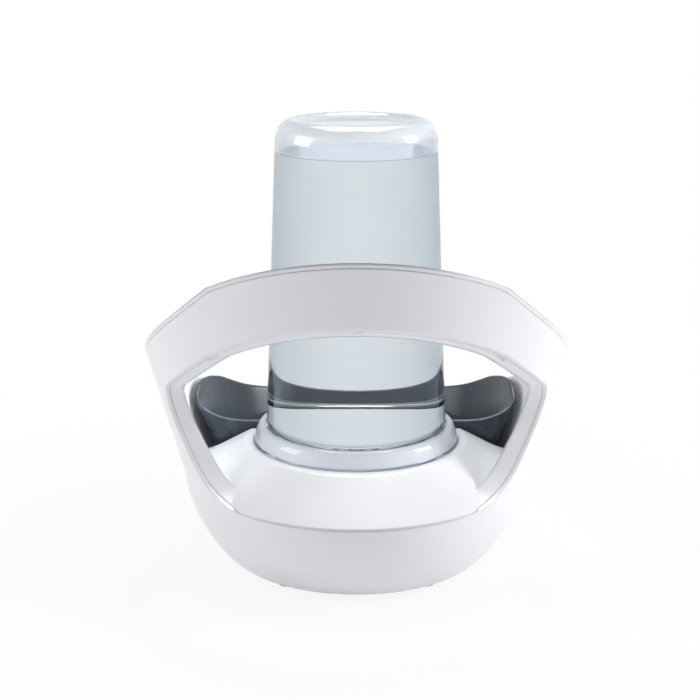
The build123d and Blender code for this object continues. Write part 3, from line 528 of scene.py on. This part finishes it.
# Camera: behind the fountain, a little above its top and tilted down
camera = {"place": (-3.6, -835.8, 361.7), "pitchDown": 15.21, "focalPixels": 1450, "imagePixels": 700,
          "sensor": 36, "clipStart": 0.01}
cameraData = bpy.data.cameras.new("camera")
cameraObject = bpy.data.objects.new("camera", cameraData)
bpy.context.scene.collection.objects.link(cameraObject)
cameraObject.location = [v * mm for v in camera["place"]]
cameraObject.rotation_euler = (math.radians(90 - camera["pitchDown"]), 0, 0)
cameraData.sensor_width = camera["sensor"]
cameraData.lens = camera["focalPixels"] / camera["imagePixels"] * camera["sensor"]
cameraData.clip_start = camera["clipStart"]
bpy.context.scene.camera = cameraObject

# Studio: a white sweep that keeps a faint shadow, and soft light mostly from the right
studio = {"floorHalf": 3.0, "floorHeight": -0.2, "floorColour": "#F4F5F6", "worldLight": 0.55,
          "frontShade": 0.22, "shadowShare": 0.12, "shadowStart": 0.1, "shadowReach": 0.45,
          "aim": (0, 0, 0.1)}
lamps = {"key softbox": {"place": (1.6, -0.1, 0.8), "size": 0.6, "power": 17},
         "fill softbox": {"place": (-1.6, -0.2, 0.7), "size": 0.9, "power": 9},
         "top softbox": {"place": (0.1, 0.1, 1.5), "size": 0.22, "power": 3},
         "top card": {"place": (0.0, 0.3, 1.3), "size": 0.9, "power": 24, "onlyGloss": True}}


def seenDirectly(tree):
    # 1 where the camera looks, straight or through a reflection or clear plastic
    path = addNode(tree, "LightPath")
    straight = addNode(tree, "Math", {0: (path, "Is Camera Ray"), 1: (path, "Is Glossy Ray")},
                       operation="MAXIMUM")
    return addNode(tree, "Math", {0: (straight, "Value"), 1: (path, "Is Transmission Ray")},
                   operation="MAXIMUM")


deselectAll()
bpy.ops.mesh.primitive_plane_add(size=2 * studio["floorHalf"], location=(0, 0, studio["floorHeight"] * mm))
floor = bpy.context.object
floor.name = "floor"
bpy.ops.object.transform_apply(location=True, rotation=True, scale=True)
floorMaterial, tree = newMaterial("white paper sweep")
paper = addNode(tree, "BsdfPrincipled", {"Base Color": hexColour(studio["floorColour"]), "Roughness": 0.8})
glow = addNode(tree, "Emission", {"Color": (1, 1, 1, 1), "Strength": 1.0})
place = addNode(tree, "TexCoord")
away = addNode(tree, "VectorMath", {0: (place, "Object")}, operation="LENGTH")
share = addNode(tree, "MapRange", {
    "Value": (away, "Value"), "From Min": studio["shadowStart"], "From Max": studio["shadowReach"],
    "To Min": 1 - studio["shadowShare"], "To Max": 1.0}, interpolation_type="SMOOTHSTEP")
whole = addNode(tree, "Math", {0: (seenDirectly(tree), "Value"), 1: (share, "Result")}, operation="MULTIPLY")
mix = addNode(tree, "MixShader", {0: (whole, "Value"), 1: (paper, "BSDF"), 2: (glow, "Emission")})
addNode(tree, "OutputMaterial", {"Surface": (mix, "Shader")})
paint(floor, floorMaterial)

world = bpy.data.worlds.new("studio")
bpy.context.scene.world = world
tree = newTree(world)
# the camera's side of the room is darker than the far side
place = addNode(tree, "TexCoord")
split = addNode(tree, "SeparateXYZ", {"Vector": (place, "Generated")})
room = addNode(tree, "MapRange", {
    "Value": (split, "Y"), "From Min": -1.0, "From Max": 1.0,
    "To Min": studio["worldLight"] * (1 - 2 * studio["frontShade"]), "To Max": studio["worldLight"]})
soft = addNode(tree, "Background", {"Color": (1, 1, 1, 1), "Strength": (room, "Result")})
bright = addNode(tree, "Background", {"Color": (1, 1, 1, 1), "Strength": 1.0})
mix = addNode(tree, "MixShader", {
    0: (seenDirectly(tree), "Value"), 1: (soft, "Background"), 2: (bright, "Background")})
addNode(tree, "OutputWorld", {"Surface": (mix, "Shader")})

for name, lamp in lamps.items():
    data = bpy.data.lights.new(name, "AREA")
    data.size = lamp["size"]
    data.energy = lamp["power"]
    light = bpy.data.objects.new(name, data)
    bpy.context.scene.collection.objects.link(light)
    light.visible_diffuse = not lamp.get("onlyGloss", False)
    light.location = lamp["place"]
    look = Vector(studio["aim"]) - Vector(lamp["place"])
    light.rotation_euler = look.to_track_quat("-Z", "Y").to_euler()
print("studio ready:", len(lamps), "lamps")

bpy.context.scene.view_settings.view_transform = "Standard"
